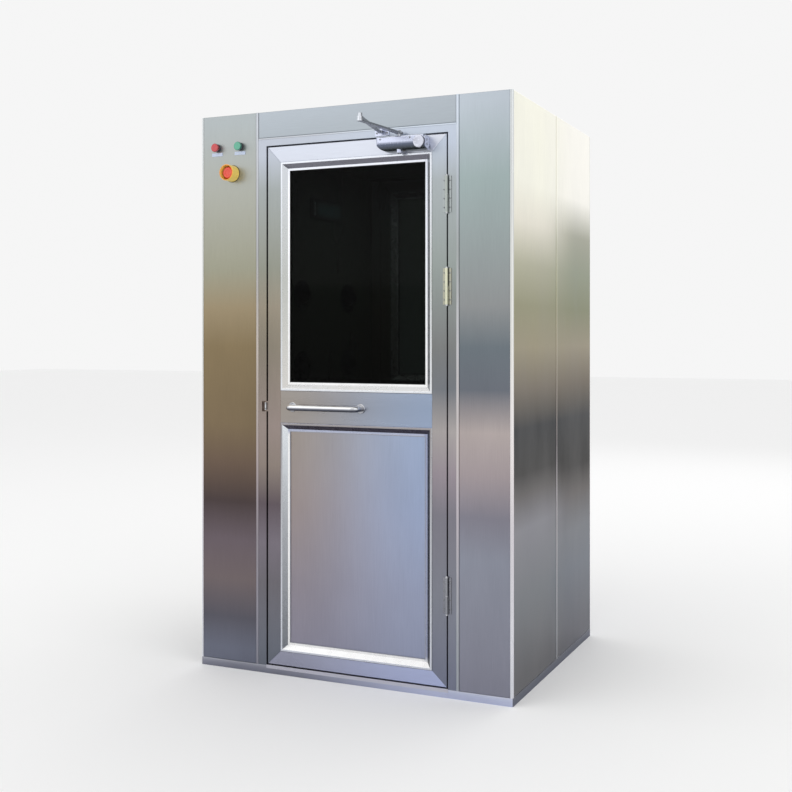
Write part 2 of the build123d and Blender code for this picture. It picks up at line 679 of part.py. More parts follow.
halves = [hinge_halves(z) for z in HINGE_ZS]
frame_halves = [half[0] for half in halves]
leaf_halves = [half[1] for half in halves]
write("hinge_bases", frame_halves + [to_back(half) for half in frame_halves])

window = (MID_RAIL_Z1, LEAF_Z1 - TOP_RAIL)
lower = (LEAF_Z0 + BOTTOM_RAIL, MID_RAIL_Z0)
leaf = {
    "door_stiles": door_stiles(),
    "door_rails": door_rails(),
    "door_bevels": [bevel_frame(*window), bevel_frame(*lower)],
    "door_glass": [pane(*window)],
    "door_panel": [pane(*lower)],
    "door_handle": [pull_handle()],
    "door_hinges": leaf_halves,
    "closer_body": [closer_body()],
    "closer_arm": [main_arm()],
    "closer_forearm": [forearm()],
}
for name, solids in leaf.items():
    write("front_" + name, solids)
    write("back_" + name, [to_back(solid) for solid in solids])

write("lamp_bezels", [lamp_bezel(RED_LAMP_X), lamp_bezel(GREEN_LAMP_X)])
write("red_lamp_lens", lamp_lens(RED_LAMP_X))
write("green_lamp_lens", lamp_lens(GREEN_LAMP_X))
write("label_plates", [label_plate(RED_LAMP_X), label_plate(GREEN_LAMP_X)])
write("stop_shroud", stop_shroud())
write("stop_button", stop_button())
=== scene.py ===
import math

import bmesh
import bpy
from mathutils import Matrix, Vector


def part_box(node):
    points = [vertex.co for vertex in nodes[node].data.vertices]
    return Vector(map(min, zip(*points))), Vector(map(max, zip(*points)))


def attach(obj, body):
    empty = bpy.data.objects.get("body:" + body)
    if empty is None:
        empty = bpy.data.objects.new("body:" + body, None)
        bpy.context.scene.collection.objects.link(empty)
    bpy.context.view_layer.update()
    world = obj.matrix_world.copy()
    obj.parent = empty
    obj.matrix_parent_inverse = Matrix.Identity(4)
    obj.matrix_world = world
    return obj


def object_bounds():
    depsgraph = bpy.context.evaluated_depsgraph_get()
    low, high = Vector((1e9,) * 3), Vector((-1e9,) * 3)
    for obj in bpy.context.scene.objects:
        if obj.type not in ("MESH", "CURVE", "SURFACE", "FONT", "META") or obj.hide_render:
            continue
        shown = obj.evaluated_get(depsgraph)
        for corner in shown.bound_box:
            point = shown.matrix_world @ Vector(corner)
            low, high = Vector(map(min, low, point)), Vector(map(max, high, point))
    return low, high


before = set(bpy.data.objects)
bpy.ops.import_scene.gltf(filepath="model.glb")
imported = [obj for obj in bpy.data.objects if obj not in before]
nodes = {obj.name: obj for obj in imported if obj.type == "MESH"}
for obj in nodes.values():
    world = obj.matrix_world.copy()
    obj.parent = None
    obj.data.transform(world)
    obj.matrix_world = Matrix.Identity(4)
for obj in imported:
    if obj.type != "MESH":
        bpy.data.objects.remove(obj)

# Looks of the air shower cabin: finishes, small pieces, light and camera.
# Metres, +Z up, the front door faces -Y.

cad_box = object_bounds()


def mm(value):
    return value / 1000.0


HEIGHT = cad_box[1][2]
LEAF_LOW, LEAF_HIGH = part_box("front_door_stiles")
LEAF_X = (LEAF_LOW[0] + LEAF_HIGH[0]) / 2  # middle of the doors and of the room
FRONT_Y = LEAF_LOW[1]
OUTWARD = (0, -1, 0)
LET_IN = mm(0.2)  # how far gaskets and collars reach into what carries them


# Materials

MIX_FACTOR, MIX_A, MIX_B, MIX_RESULT = 0, 6, 7, 2  # sockets of a mix node that mixes colours
SPREAD = (0.3, 0.7)  # values of a noise between which a tone or a roughness changes
NO_STRETCH = (1.0, 1.0, 1.0)
LEAST_ROUGH = 0.02
UNEVEN_ROUGH = 0.05  # more or less than the roughness of a finish


def material(name):
    """New material with an emptied tree, and its tree and shader."""
    mat = bpy.data.materials.new(name)
    mat.use_nodes = True
    tree = mat.node_tree
    tree.nodes.clear()
    shader = tree.nodes.new("ShaderNodeBsdfPrincipled")
    output = tree.nodes.new("ShaderNodeOutputMaterial")
    tree.links.new(shader.outputs["BSDF"], output.inputs["Surface"])
    return mat, tree, shader


def linear(rgb):
    """Screen colour, 0 to 255, as the scene's linear colour."""
    values = []
    for channel in rgb:
        c = channel / 255.0
        values.append(c / 12.92 if c <= 0.04045 else ((c + 0.055) / 1.055) ** 2.4)
    return (*values, 1.0)


def ramp(tree, value, stops):
    """Colour for a value, from (place, colour) pairs."""
    node = tree.nodes.new("ShaderNodeValToRGB")
    elements = node.color_ramp.elements
    while len(elements) > 1:
        elements.remove(elements[-1])
    elements[0].position, elements[0].color = stops[0]
    for place, colour in stops[1:]:
        elements.new(place).color = colour
    tree.links.new(value, node.inputs[0])
    return node.outputs["Color"]


def grey_ramp(tree, value, low, high, spread=SPREAD):
    """Grey that goes from low to high as a value crosses the spread."""
    return ramp(tree, value, [(place, (v, v, v, 1.0)) for place, v in zip(spread, (low, high))])


def mix_node(tree, kind, a, b):
    node = tree.nodes.new("ShaderNodeMix")
    node.data_type = "RGBA"
    node.blend_type = kind
    tree.links.new(a, node.inputs[MIX_A])
    tree.links.new(b, node.inputs[MIX_B])
    return node


def multiply(tree, a, b):
    node = mix_node(tree, "MULTIPLY", a, b)
    node.inputs[MIX_FACTOR].default_value = 1.0
    return node.outputs[MIX_RESULT]


def mix_by(tree, factor, a, b):
    """Colour a where the factor is 0 and b where it is 1."""
    node = mix_node(tree, "MIX", a, b)
    tree.links.new(factor, node.inputs[MIX_FACTOR])
    return node.outputs[MIX_RESULT]


def calc(tree, operation, value, *numbers):
    """Result of a math node for a value and the set numbers that follow it."""
    node = tree.nodes.new("ShaderNodeMath")
    node.operation = operation
    tree.links.new(value, node.inputs[0])
    for socket, number in zip(list(node.inputs)[1:], numbers):
        socket.default_value = number
    return node.outputs[0]


def share_of(tree, value, start, end):
    """0 where the value is at start, 1 where it is at end, and smooth between them."""
    node = tree.nodes.new("ShaderNodeMapRange")
    node.interpolation_type = "SMOOTHSTEP"
    node.inputs["From Min"].default_value = start
    node.inputs["From Max"].default_value = end
    tree.links.new(value, node.inputs["Value"])
    return node.outputs["Result"]


def noise(tree, coords, scale, stretch=NO_STRETCH, detail=4.0):
    """Noise, stretched along the axes where its scale is small."""
    mapping = tree.nodes.new("ShaderNodeMapping")
    mapping.inputs["Scale"].default_value = stretch
    tree.links.new(coords, mapping.inputs["Vector"])
    node = tree.nodes.new("ShaderNodeTexNoise")
    node.inputs["Scale"].default_value = scale
    node.inputs["Detail"].default_value = detail
    tree.links.new(mapping.outputs["Vector"], node.inputs["Vector"])
    return node.outputs["Fac"]


def object_coords(tree):
    return tree.nodes.new("ShaderNodeTexCoord").outputs["Object"]


def axis_of(tree, vector, axis):
    """X, Y or Z of a vector."""
    split = tree.nodes.new("ShaderNodeSeparateXYZ")
    tree.links.new(vector, split.inputs[0])
    return split.outputs[axis]


def by_height(tree, coords, tones):
    """Colour by height above the floor, from (height in mm, screen colour) pairs."""
    share = calc(tree, "DIVIDE", axis_of(tree, coords, "Z"), HEIGHT)
    return ramp(tree, share, [(mm(z) / HEIGHT, linear(tone)) for z, tone in tones])


def facing(tree, axis):
    """How far a face looks along X, Y or Z of the model: 0 is against it, 1 is along it."""
    normal = tree.nodes.new("ShaderNodeTexCoord").outputs["Normal"]
    share = tree.nodes.new("ShaderNodeMapRange")
    share.inputs["From Min"].default_value = -1.0
    share.inputs["From Max"].default_value = 1.0
    tree.links.new(axis_of(tree, normal, axis), share.inputs["Value"])
    return share.outputs["Result"]


def shade_right(tree, colour, amount):
    """Darkens the faces that look along X, for a piece seen with that side in shade."""
    return multiply(tree, colour, grey_ramp(tree, facing(tree, "X"), 1.0, amount, EDGE_TURN))


def darkened(tree, value, tone, depth):
    """Screen colour that a noise darkens by up to the depth."""
    base = linear(tone)
    dark = tuple(c * (1.0 - depth) for c in base[:3]) + (1.0,)
    return ramp(tree, value, list(zip(SPREAD, (dark, base))))


def set_rough(tree, shader, value, low, high, spread=SPREAD):
    """Roughness that goes from low to high as a noise crosses the spread."""
    tree.links.new(grey_ramp(tree, value, low, high, spread), shader.inputs["Roughness"])


def set_bump(tree, shader, height, strength, distance):
    bump = tree.nodes.new("ShaderNodeBump")
    bump.inputs["Strength"].default_value = strength
    bump.inputs["Distance"].default_value = distance
    tree.links.new(height, bump.inputs["Height"])
    tree.links.new(bump.outputs["Normal"], shader.inputs["Normal"])


def set_surface(tree, shader, spots, rough, metallic, coat):
    """Metal, coat, and a roughness that is uneven with the spots."""
    low = max(LEAST_ROUGH, rough - UNEVEN_ROUGH)
    set_rough(tree, shader, spots, low, rough + UNEVEN_ROUGH)
    shader.inputs["Metallic"].default_value = metallic
    shader.inputs["Coat Weight"].default_value = coat


# Brushed steel: fine lines along the grain, and fainter smears drawn out the same way
GRAIN_AXIS = {"level": 0, "deep": 1, "upright": 2}
LINE_SCALE = 900.0
LINE_DETAIL = 2.0
LINE_STRETCH = 0.012
LINE_TONE = 0.92
LINE_BUMP = 0.12
LINE_DEPTH = mm(0.2)
SMEAR_SCALE = 5.0
SMEAR_STRETCH = 0.35
SMEAR_TONE = 0.90
SMEAR_SPREAD = (0.35, 0.65)
GLOSS_SPREAD = (0.25, 0.75)
EDGE_TURN = (0.80, 0.93)  # how far along X a face looks where its shade starts and is full


def stretched(grain, scale):
    """Scale of a noise on each axis, small along the grain."""
    return tuple(scale if axis == GRAIN_AXIS[grain] else 1.0 for axis in range(3))


def brushed(name, tones, rough=0.36, grain="upright", across=None, edge_shade=None):
    """Brushed stainless, with a tone that changes with height: painted reflections of the surroundings in
    the steel.

    across is (axis, start, end, tones) where the tone also changes from side to side.
    edge_shade is how bright the faces that look along X are, for a piece seen with its side in shade."""
    mat, tree, shader = material(name)
    coords = object_coords(tree)
    colour = by_height(tree, coords, tones)
    if across:
        axis, start, end, far_tones = across
        share = share_of(tree, axis_of(tree, coords, axis), start, end)
        colour = mix_by(tree, share, colour, by_height(tree, coords, far_tones))
    if edge_shade is not None:
        colour = shade_right(tree, colour, edge_shade)
    lines = noise(tree, coords, LINE_SCALE, stretched(grain, LINE_STRETCH), LINE_DETAIL)
    smear = noise(tree, coords, SMEAR_SCALE, stretched(grain, SMEAR_STRETCH))
    colour = multiply(tree, colour, grey_ramp(tree, lines, LINE_TONE, 1.0))
    colour = multiply(tree, colour, grey_ramp(tree, smear, SMEAR_TONE, 1.0, SMEAR_SPREAD))
    tree.links.new(colour, shader.inputs["Base Color"])
    set_rough(tree, shader, smear, rough - 0.07, rough + 0.08, GLOSS_SPREAD)
    set_bump(tree, shader, lines, LINE_BUMP, LINE_DEPTH)
    shader.inputs["Metallic"].default_value = 0.9
    shader.inputs["Anisotropic"].default_value = 0.5
    return mat


def mottled(name, tone, rough, depth, scale, metallic=0.0, bump_by=0.0, coat=0.0):
    """Smooth material with faint unevenness of tone and gloss."""
    mat, tree, shader = material(name)
    spots = noise(tree, object_coords(tree), scale)
    tree.links.new(darkened(tree, spots, tone, depth), shader.inputs["Base Color"])
    set_surface(tree, shader, spots, rough, metallic, coat)
    if bump_by:
        set_bump(tree, shader, spots, bump_by, mm(0.5))
    return mat


def shaded(name, axis, tones, rough, metallic, depth=0.08, scale=90.0, coat=0.0, edge_shade=None):
    """Rounded metal or plastic with painted light: its tone goes with the way each part of it faces, as
    painted highlights and painted shade.

    tones are (facing, screen colour) pairs, facing from -1 to 1 along the axis."""
    mat, tree, shader = material(name)
    spots = noise(tree, object_coords(tree), scale)
    stops = [((way + 1) / 2, linear(colour)) for way, colour in tones]
    uneven = grey_ramp(tree, spots, 1.0 - depth, 1.0)
    colour = multiply(tree, ramp(tree, facing(tree, axis), stops), uneven)
    if edge_shade is not None:
        colour = shade_right(tree, colour, edge_shade)
    tree.links.new(colour, shader.inputs["Base Color"])
    set_surface(tree, shader, spots, rough, metallic, coat)
    return mat


# Bevelled frame round a pane
FLAT_DEPTH = mm(17)  # the flats lie within this of the middle of the leaf, and the lips beyond it
ALONG = (0.58, 0.72)  # how far along an axis a slope looks where its painted tone starts and is full
AGAINST = (0.42, 0.28)


def bevel_painted_light(name):
    """Bevelled frame with painted light by the way each part faces: painted shade on the slopes that face
    left and down, painted highlights on the slopes that face right and up and on the flat beside the pane.
    """
    mat, tree, shader = material(name)
    coords = object_coords(tree)
    smear = noise(tree, coords, 30.0)
    to_right_edge = share_of(tree, axis_of(tree, coords, "X"), *RIGHT_FLAT_X)
    flat = mix_by(tree, to_right_edge, by_height(tree, coords, FLAT_TONES),
                  by_height(tree, coords, RIGHT_FLAT_TONES))
    leaf_middle = abs(LEAF_LOW[1] + LEAF_HIGH[1]) / 2
    from_room_middle = calc(tree, "ABSOLUTE", axis_of(tree, coords, "Y"))
    is_flat = calc(tree, "COMPARE", from_room_middle, leaf_middle, FLAT_DEPTH)
    colour = mix_by(tree, is_flat, by_height(tree, coords, LIP_TONES), flat)
    for axis, turn, tones in (("X", ALONG, LEFT_SLOPE_TONES), ("X", AGAINST, RIGHT_SLOPE_TONES),
                              ("Z", AGAINST, TOP_SLOPE_TONES), ("Z", ALONG, FLAT_TONES)):
        share = share_of(tree, facing(tree, axis), *turn)
        colour = mix_by(tree, share, colour, by_height(tree, coords, tones))
    colour = multiply(tree, colour, grey_ramp(tree, smear, 0.94, 1.0))
    tree.links.new(colour, shader.inputs["Base Color"])
    set_rough(tree, shader, smear, 0.24, 0.32)
    shader.inputs["Metallic"].default_value = 0.85
    return mat


def tinted_glass(name, tone):
    """Dark pane that still lets the room behind it show."""
    mat, tree, shader = material(name)
    haze = noise(tree, object_coords(tree), 3.0)
    set_rough(tree, shader, haze, LEAST_ROUGH, 0.05)
    tree.links.new(darkened(tree, haze, tone, 0.1), shader.inputs["Base Color"])
    shader.inputs["Transmission Weight"].default_value = 1.0
    shader.inputs["IOR"].default_value = 1.12  # low, so that the view through the thick pane isn't bent
    return mat


# Tones by height above the floor, as (height in mm, screen colour). Their light and dark bands are painted
# reflections of the surroundings in the steel, and the brightest tables are painted highlights, as noted at
# each.
LEFT_TONES = [(80, (114, 118, 134)), (200, (96, 95, 105)), (350, (120, 109, 111)),
              (500, (112, 101, 108)), (650, (80, 69, 69)), (800, (112, 95, 82)), (950, (132, 115, 90)),
              (1250, (142, 125, 95)), (1400, (160, 145, 117)), (1550, (157, 156, 138)),
              (1850, (167, 169, 161)), (2120, (170, 177, 179))]
RIGHT_TONES = [(80, (142, 143, 157)), (500, (147, 151, 165)), (650, (138, 136, 148)),
               (800, (172, 161, 164)), (950, (186, 175, 173)), (1100, (112, 117, 126)),
               (1250, (112, 121, 128)), (1400, (146, 149, 150)), (1850, (158, 173, 173)),
               (2120, (186, 195, 204))]
SIDE_FRONT_TONES = [(80, (110, 110, 114)), (350, (122, 126, 132)), (600, (138, 138, 146)),
                    (720, (96, 92, 92)), (800, (34, 31, 29)), (960, (40, 42, 46)),
                    (1100, (126, 117, 104)), (1250, (164, 155, 130)), (1400, (158, 156, 127)),
                    (1550, (186, 185, 162)), (1700, (234, 230, 216)), (1850, (246, 245, 232))]
SIDE_REAR_TONES = [(80, (104, 105, 114)), (350, (116, 122, 133)), (500, (124, 127, 134)),
                   (650, (100, 95, 94)), (760, (34, 31, 29)), (960, (42, 44, 48)),
                   (1100, (118, 108, 94)), (1250, (162, 153, 133)), (1400, (142, 145, 118)),
                   (1550, (154, 160, 140)), (1700, (170, 171, 155)), (1850, (248, 246, 239))]
FRAME_LEFT_TONES = [(80, (118, 123, 135)), (350, (118, 115, 122)), (500, (128, 121, 131)),
                    (650, (102, 92, 98)), (800, (148, 136, 128)), (950, (162, 148, 142)),
                    (1250, (146, 138, 124)), (1400, (158, 149, 133)), (1550, (145, 147, 136)),
                    (1850, (156, 162, 162)), (1980, (180, 186, 197))]
FRAME_RIGHT_TONES = [(80, (128, 132, 150)), (350, (136, 139, 150)), (650, (132, 130, 140)),
                     (800, (160, 150, 158)), (950, (180, 174, 173)), (1100, (126, 130, 136)),
                     (1250, (132, 134, 134)), (1550, (152, 160, 157)), (1850, (166, 173, 176)),
                     (1980, (188, 197, 211))]
RAIL_LEFT_TONES = [(60, (166, 168, 188)), (1022, (168, 160, 152)), (1990, (204, 209, 221))]
RAIL_RIGHT_TONES = [(60, (184, 193, 228)), (1022, (160, 176, 202)), (1990, (210, 214, 225))]
PANEL_LEFT_TONES = [(120, (154, 151, 167)), (350, (151, 144, 153)), (650, (160, 148, 146)),
                    (900, (166, 156, 149))]
PANEL_RIGHT_TONES = [(120, (156, 163, 188)), (350, (158, 166, 192)), (650, (162, 176, 207)),
                     (900, (164, 180, 210))]
HEADER_TONES = [(2044, (168, 176, 183)), (2140, (174, 182, 190))]
# Plinth: the bright band from 24 to 30 mm is a painted highlight along its rounded top edge; the rest is
# painted reflection, and its side faces get painted shade through edge_shade.
PLINTH_LEFT_TONES = [(0, (128, 130, 144)), (24, (152, 154, 168)), (30, (200, 202, 210))]
PLINTH_RIGHT_TONES = [(0, (188, 194, 220)), (24, (200, 206, 230)), (30, (226, 228, 238))]
# Corner strips: light tones all the way up, a painted highlight along the rounded corner.
CORNER_TONES = [(40, (230, 232, 240)), (600, (226, 222, 228)), (850, (246, 240, 240)),
                (1300, (228, 228, 224)), (1700, (218, 220, 218)), (2100, (222, 226, 228))]
# Seams: their bright lines are painted highlights on the rounded edges at each seam.
SEAM_LEFT_TONES = [(120, (150, 150, 162)), (650, (156, 148, 154)), (850, (184, 172, 170)),
                   (1250, (208, 198, 190)), (1600, (170, 171, 173)), (2100, (188, 192, 199))]
SEAM_RIGHT_TONES = [(200, (170, 175, 182)), (700, (198, 191, 198)), (900, (212, 204, 202)),
                    (1250, (202, 202, 206)), (1600, (165, 170, 170)), (1850, (178, 185, 192)),
                    (2040, (202, 211, 222))]
SIDE_SEAM_TONES = [(150, (174, 176, 182)), (690, (186, 182, 186)), (880, (136, 130, 132)),
                   (1080, (160, 152, 144)), (1260, (190, 182, 160)), (1460, (188, 188, 160)),
                   (1650, (204, 205, 186)), (1800, (246, 245, 232))]
SILL_TONES = [(30, (206, 206, 218)), (60, (200, 200, 212))]
# Hinges: the knuckle tones are brighter than the wings', a painted highlight, most of all from 1350 to 1560
# mm.
HINGE_TONES = [(300, (146, 148, 156)), (900, (170, 170, 172)), (1350, (226, 226, 200)),
               (1560, (226, 226, 200)), (1680, (176, 183, 179)), (1900, (178, 185, 181))]
WING_TONES = [(300, (134, 136, 146)), (900, (170, 168, 170)), (1350, (176, 176, 160)),
              (1560, (176, 176, 160)), (1680, (164, 171, 171)), (1900, (168, 175, 176))]
ROOM_TONES = [(0, (106, 102, 98)), (900, (120, 114, 106)), (1500, (128, 132, 120)),
              (1750, (104, 110, 106)), (1950, (70, 76, 76)), (2150, (76, 82, 82))]
# Bevelled frame round the pane, by the way each part faces: the bright lips and flats are painted
# highlights, and the dark slopes at the right and top are painted shade.
LIP_TONES = [(90, (214, 218, 228)), (600, (186, 188, 194)), (955, (158, 154, 156)),
             (1085, (228, 231, 236)), (1500, (196, 200, 200)), (1950, (218, 222, 230))]
FLAT_TONES = [(90, (250, 250, 250)), (915, (248, 248, 248)), (930, (176, 182, 204)),
              (1000, (176, 182, 204)), (1085, (250, 250, 250)), (1880, (236, 238, 242)),
              (1950, (212, 216, 226))]
RIGHT_FLAT_TONES = [(110, (250, 250, 250)), (135, (152, 158, 182)), (930, (152, 160, 188)),
                    (1085, (248, 248, 248)), (1950, (206, 210, 220))]
LEFT_SLOPE_TONES = [(90, (128, 132, 138)), (600, (172, 175, 180)), (950, (220, 225, 230)),
                    (1085, (206, 204, 200)), (1500, (180, 182, 178)), (1950, (200, 204, 210))]
RIGHT_SLOPE_TONES = [(90, (84, 86, 92)), (500, (42, 44, 50)), (950, (66, 68, 76)),
                     (1085, (148, 150, 154)), (1950, (166, 170, 176))]
TOP_SLOPE_TONES = [(960, (70, 66, 78)), (1900, (124, 124, 134))]
ROOF_TONES = [(0, (168, 171, 174)), (2150, (188, 192, 196))]

# Where a tone goes over into the one across from it, in metres
DOOR_SPAN = (-0.30, 0.36)  # from left tone to right tone, in x
SIDE_SPAN = (-0.20, 0.30)  # from front tone to rear tone, in y
HINGE_SPAN = (FRONT_Y - mm(5), FRONT_Y - mm(3.5))  # from the knuckle's painted highlight to the wings' tone, in y
RIGHT_FLAT_X = (0.300, 0.312)  # to the flat at the right of the pane, in x


def to_right(tones):
    """Across the front, to the tones at its right."""
    return ("X", *DOOR_SPAN, tones)


steel = brushed("wall_steel", LEFT_TONES, across=to_right(RIGHT_TONES))
side_steel = brushed("side_steel", SIDE_FRONT_TONES, 0.38, across=("Y", *SIDE_SPAN, SIDE_REAR_TONES))
frame_steel = brushed("frame_steel", FRAME_LEFT_TONES, 0.32, across=to_right(FRAME_RIGHT_TONES))
rail_steel = brushed("rail_steel", RAIL_LEFT_TONES, 0.30, "level", to_right(RAIL_RIGHT_TONES))
panel_steel = brushed("panel_steel", PANEL_LEFT_TONES, 0.34, across=to_right(PANEL_RIGHT_TONES))
header_steel = brushed("header_steel", HEADER_TONES, 0.36, "level")
plinth_steel = brushed("plinth_steel", PLINTH_LEFT_TONES, 0.40, "level", to_right(PLINTH_RIGHT_TONES),
                       edge_shade=0.28)
hinge_steel = brushed("hinge_steel", HINGE_TONES, 0.26, across=("Y", *HINGE_SPAN, WING_TONES),
                      edge_shade=0.30)
corner_steel = brushed("corner_steel", CORNER_TONES, 0.26)
seam_steel = brushed("seam_steel", SEAM_LEFT_TONES, 0.30, across=to_right(SEAM_RIGHT_TONES))
side_seam_steel = brushed("side_seam_steel", SIDE_SEAM_TONES, 0.30)
sill_steel = brushed("sill_steel", SILL_TONES, 0.30, "level")
bevel_steel = bevel_painted_light("bevel_steel")
room_steel = brushed("room_steel", ROOM_TONES, 0.30)
roof_steel = brushed("roof_steel", ROOF_TONES, 0.42, "deep")
polished = mottled("polished_steel", (214, 215, 218), 0.10, depth=0.05, scale=25.0, metallic=1.0)
# Nozzles: the bright downward faces are a painted glint, the dark upward faces painted shade.
nozzle_steel = shaded("nozzle_steel", "Z", [(-0.9, (238, 240, 242)), (-0.3, (176, 178, 182)),
                                            (0.05, (92, 94, 98)), (0.5, (62, 64, 68)),
                                            (0.95, (112, 114, 118))], 0.12, metallic=1.0)
# Handle: painted highlight on top, painted shade underneath.
handle_steel = shaded("handle_steel", "Z", [(-0.9, (70, 72, 82)), (-0.3, (96, 98, 108)),
                                            (0.15, (206, 208, 214)), (0.7, (252, 252, 252))],
                      0.10, metallic=1.0, scale=25.0)
# Closer body and shoes: painted reflection, bright on top and dark underneath.
closer_paint = shaded("closer_paint", "Z", [(-0.8, (68, 74, 78)), (-0.35, (98, 106, 126)),
                                            (-0.08, (200, 206, 228)), (0.6, (228, 232, 244))],
                      0.24, metallic=0.7, depth=0.04, scale=120.0)
# Cap cover: the faces that look along X are darker, painted shade.
cover_paint = shaded("cover_paint", "X", [(-0.6, (206, 208, 220)), (0.1, (204, 207, 220)),
                                          (0.5, (84, 86, 100))],
                     0.24, metallic=0.7, depth=0.05, scale=120.0)
# Closer arms: the dark undersides and the darker faces along X are painted shade.
arm_paint = shaded("arm_paint", "Z", [(-0.8, (92, 98, 114)), (-0.15, (214, 219, 228)),
                                      (0.6, (238, 240, 244))],
                   0.22, metallic=0.7, depth=0.05, scale=120.0, edge_shade=0.32)
dark_glass = tinted_glass("dark_glass", (70, 76, 73))
black_rubber = mottled("black_rubber", (22, 22, 24), 0.62, depth=0.25, scale=140.0, bump_by=0.2)
black_plastic = mottled("black_plastic", (16, 17, 19), 0.22, depth=0.2, scale=30.0)
# Lenses: the lighter front face is a painted highlight over the lens colour, with darker sides.
red_lens = shaded("red_lens", "Y", [(-0.97, (200, 52, 56)), (-0.7, (146, 18, 30)),
                                    (0.2, (142, 16, 34))],
                  0.14, metallic=0.0, depth=0.2, scale=160.0, coat=0.6)
green_lens = shaded("green_lens", "Y", [(-0.97, (84, 174, 144)), (-0.7, (16, 112, 90)),
                                        (0.2, (12, 108, 94))],
                    0.14, metallic=0.0, depth=0.2, scale=160.0, coat=0.6)
# Stop shroud: one yellow plastic whose tone by facing is painted light, orange on the faces to the front and
# pale yellow on the sides.
yellow_plastic = shaded("yellow_plastic", "Y", [(-0.95, (252, 150, 48)), (-0.5, (255, 206, 84)),
                                                (0.1, (255, 224, 116))],
                        0.30, metallic=0.0, depth=0.05, coat=0.2)
red_plastic = mottled("red_plastic", (232, 74, 52), 0.26, depth=0.08, scale=110.0, coat=0.3)
plate_plastic = mottled("plate_plastic", (200, 212, 236), 0.45, depth=0.05, scale=150.0)
grey_sealant = mottled("grey_sealant", (150, 152, 162), 0.50, depth=0.1, scale=140.0)
screen_glass = mottled("screen_glass", (38, 52, 54), 0.08, depth=0.3, scale=20.0, coat=0.8)
key_plastic = mottled("key_plastic", (70, 76, 78), 0.45, depth=0.1, scale=80.0)
# Bezels and collars round the lamps: a dark grey that paints the shade beside the lenses over the metal.
ring_metal_in_shade = mottled("ring_metal_in_shade", (74, 74, 80), 0.30, depth=0.15, scale=120.0, metallic=0.9)
screw_steel = mottled("screw_steel", (150, 152, 156), 0.28, depth=0.15, scale=300.0, metallic=1.0)

FINISH = {
    "base_plinth": plinth_steel, "floor_plate": room_steel, "roof_panel": roof_steel,
    "ceiling_panel": room_steel, "left_inner_wall": room_steel, "right_inner_wall": room_steel,
    "left_nozzles": nozzle_steel, "right_nozzles": nozzle_steel, "wall_display": black_plastic,
    "left_side_panels": side_steel, "right_side_panels": side_steel, "corner_strips": corner_steel,
    "side_seams": side_seam_steel, "front_panels": steel, "back_panels": steel,
    "header_panels": header_steel, "wall_seams": seam_steel, "front_jamb": frame_steel,
    "back_jamb": frame_steel, "door_sills": sill_steel, "strike_keepers": polished,
    "closer_shoes": closer_paint, "hinge_bases": hinge_steel, "lamp_bezels": ring_metal_in_shade,
    "red_lamp_lens": red_lens, "green_lamp_lens": green_lens, "label_plates": plate_plastic,
    "stop_shroud": yellow_plastic, "stop_button": red_plastic,
}
DOOR_FINISH = {
    "door_stiles": frame_steel, "door_rails": rail_steel, "door_bevels": bevel_steel,
    "door_glass": dark_glass, "door_panel": panel_steel, "door_handle": handle_steel,
    "door_hinges": hinge_steel, "closer_body": closer_paint, "closer_arm": arm_paint,
    "closer_forearm": arm_paint,
}
for part, finish in DOOR_FINISH.items():
    FINISH["front_" + part] = finish
    FINISH["back_" + part] = finish
for name, finish in FINISH.items():
    for material_slot in nodes[name].material_slots:
        material_slot.material = finish

# Small pieces

TO_MIDDLE = Matrix.Translation((-LEAF_X, 0, 0))
BACK = TO_MIDDLE.inverted() @ Matrix.Rotation(math.pi, 4, "Z") @ TO_MIDDLE


def in_mm(*pairs):
    """Profile given in mm, as (distance along the axis, radius) pairs."""
    return [(mm(along), mm(radius)) for along, radius in pairs]


def piece(name, bm, body, finish):
    """A mesh piece that rides on a body."""
    mesh = bpy.data.meshes.new(name)
    bm.to_mesh(mesh)
    bm.free()
    mesh.materials.append(finish)
    obj = bpy.data.objects.new(name, mesh)
    bpy.context.collection.objects.link(obj)
    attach(obj, body)


def on_both_walls(make, name, body, finish):
    """Builds a piece at the front and, turned half round, at the back; body None is the cabin."""
    for side in ("front", "back"):
        bm = bmesh.new()
        make(bm)
        if side == "back":
            bm.transform(BACK)
        rides_on = side + "_" + body if body else "cabin"
        piece(side + "_" + name, bm, rides_on, finish)


def in_cabin(make, name, finish):
    bm = bmesh.new()
    make(bm)
    piece(name, bm, "cabin", finish)


def middle_of(node):
    low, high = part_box(node)
    return [(a + b) / 2 for a, b in zip(low, high)]


def round_circle(count, radius, start=0.0):
    """Offsets of evenly spaced points on a circle, the first at start degrees."""
    angles = [math.radians(start + 360 * step / count) for step in range(count)]
    return [(radius * math.cos(angle), radius * math.sin(angle)) for angle in angles]


def add_block(bm, low, high, bevel):
    """Block between two corners, its edges rounded."""
    made = bmesh.ops.create_cube(bm, size=1.0)
    size = [b - a for a, b in zip(low, high)]
    middle = [(a + b) / 2 for a, b in zip(low, high)]
    bmesh.ops.scale(bm, vec=size, verts=made["verts"])
    bmesh.ops.translate(bm, vec=middle, verts=made["verts"])
    edges = list({e for v in made["verts"] for e in v.link_edges})
    bmesh.ops.bevel(bm, geom=edges, offset=bevel, segments=2, affect="EDGES", profile=0.5)


def add_rim(bm, low, high, y0, y1, width, bevel):
    """Upright rectangular rim inside the outline from low to high, both (x, z)."""
    (x0, z0), (x1, z1) = low, high
    add_block(bm, (x0, y0, z0), (x0 + width, y1, z1), bevel)
    add_block(bm, (x1 - width, y0, z0), (x1, y1, z1), bevel)
    add_block(bm, (x0 + width, y0, z0), (x1 - width, y1, z0 + width), bevel)
    add_block(bm, (x0 + width, y0, z1 - width), (x1 - width, y1, z1), bevel)


